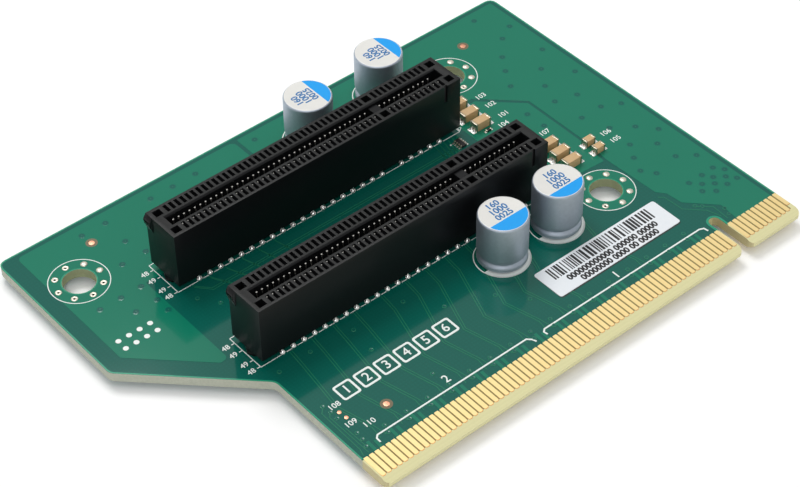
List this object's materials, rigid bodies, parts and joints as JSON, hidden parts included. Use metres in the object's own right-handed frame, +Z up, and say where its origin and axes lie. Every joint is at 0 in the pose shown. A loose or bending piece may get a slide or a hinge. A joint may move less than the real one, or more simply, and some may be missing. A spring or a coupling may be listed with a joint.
{
  "type": "riser card",
  "caption": "Flat circuit-board riser card with a gold edge connector along one side, a slanted corner and upright card slots that hold add-in cards parallel to a server's main board.",
  "frame": {"origin": "below the middle of the board, on the plane that the slots' locating posts stand on", "axes": "+X along the edge connector towards its short tongue, +Y from the edge connector to the far edge, +Z up out of the slots"},
  "size_m": [0.1012, 0.0722, 0.0142],
  "materials": {
    "laminate": "glass-fibre laminate under satin green solder mask",
    "gold": "gold plate over copper",
    "housing_plastic": "black moulded glass-filled plastic",
    "contact_metal": "plated copper alloy strip",
    "solder": "bright tin solder",
    "can_aluminium": "drawn aluminium, satin, with a blue printed segment on top",
    "lead_wire": "tinned wire",
    "chip_ceramic": "tan fired ceramic",
    "resistor_ceramic": "dark glazed ceramic",
    "terminal_tin": "tin-plated end cap",
    "label_paper": null
  },
  "bodies": {
    "root": {"chip_resistor_body": "resistor_ceramic", "chip_resistor_terminals": "terminal_tin", "circuit_board": "laminate", "edge_fingers_top": "gold", "edge_fingers_underside": "gold", "front_chip_capacitor_1_body": "chip_ceramic", "front_chip_capacitor_1_terminals": "terminal_tin", "front_chip_capacitor_2_body": "chip_ceramic", "front_chip_capacitor_2_terminals": "terminal_tin", "front_chip_capacitor_3_body": "chip_ceramic", "front_chip_capacitor_3_terminals": "terminal_tin", "front_left_capacitor_can": "can_aluminium", "front_left_capacitor_leads": "lead_wire", "front_right_capacitor_can": "can_aluminium", "front_right_capacitor_leads": "lead_wire", "front_slot_contacts_far": "contact_metal", "front_slot_contacts_near": "contact_metal", "front_slot_housing": "housing_plastic", "front_slot_lower_solder": "solder", "front_slot_upper_solder": "solder", "label": "label_paper", "rear_chip_capacitor_1_body": "chip_ceramic", "rear_chip_capacitor_1_terminals": "terminal_tin", "rear_chip_capacitor_2_body": "chip_ceramic", "rear_chip_capacitor_2_terminals": "terminal_tin", "rear_chip_capacitor_3_body": "chip_ceramic", "rear_chip_capacitor_3_terminals": "terminal_tin", "rear_left_capacitor_can": "can_aluminium", "rear_left_capacitor_leads": "lead_wire", "rear_right_capacitor_can": "can_aluminium", "rear_right_capacitor_leads": "lead_wire", "rear_slot_contacts_far": "contact_metal", "rear_slot_contacts_near": "contact_metal", "rear_slot_housing": "housing_plastic", "rear_slot_lower_solder": "solder", "rear_slot_upper_solder": "solder", "resistor_network_body": "resistor_ceramic", "resistor_network_terminals": "terminal_tin", "small_chip_capacitor_1_body": "chip_ceramic", "small_chip_capacitor_1_terminals": "terminal_tin", "small_chip_capacitor_2_body": "chip_ceramic", "small_chip_capacitor_2_terminals": "terminal_tin"}
  },
  "joints": []
}
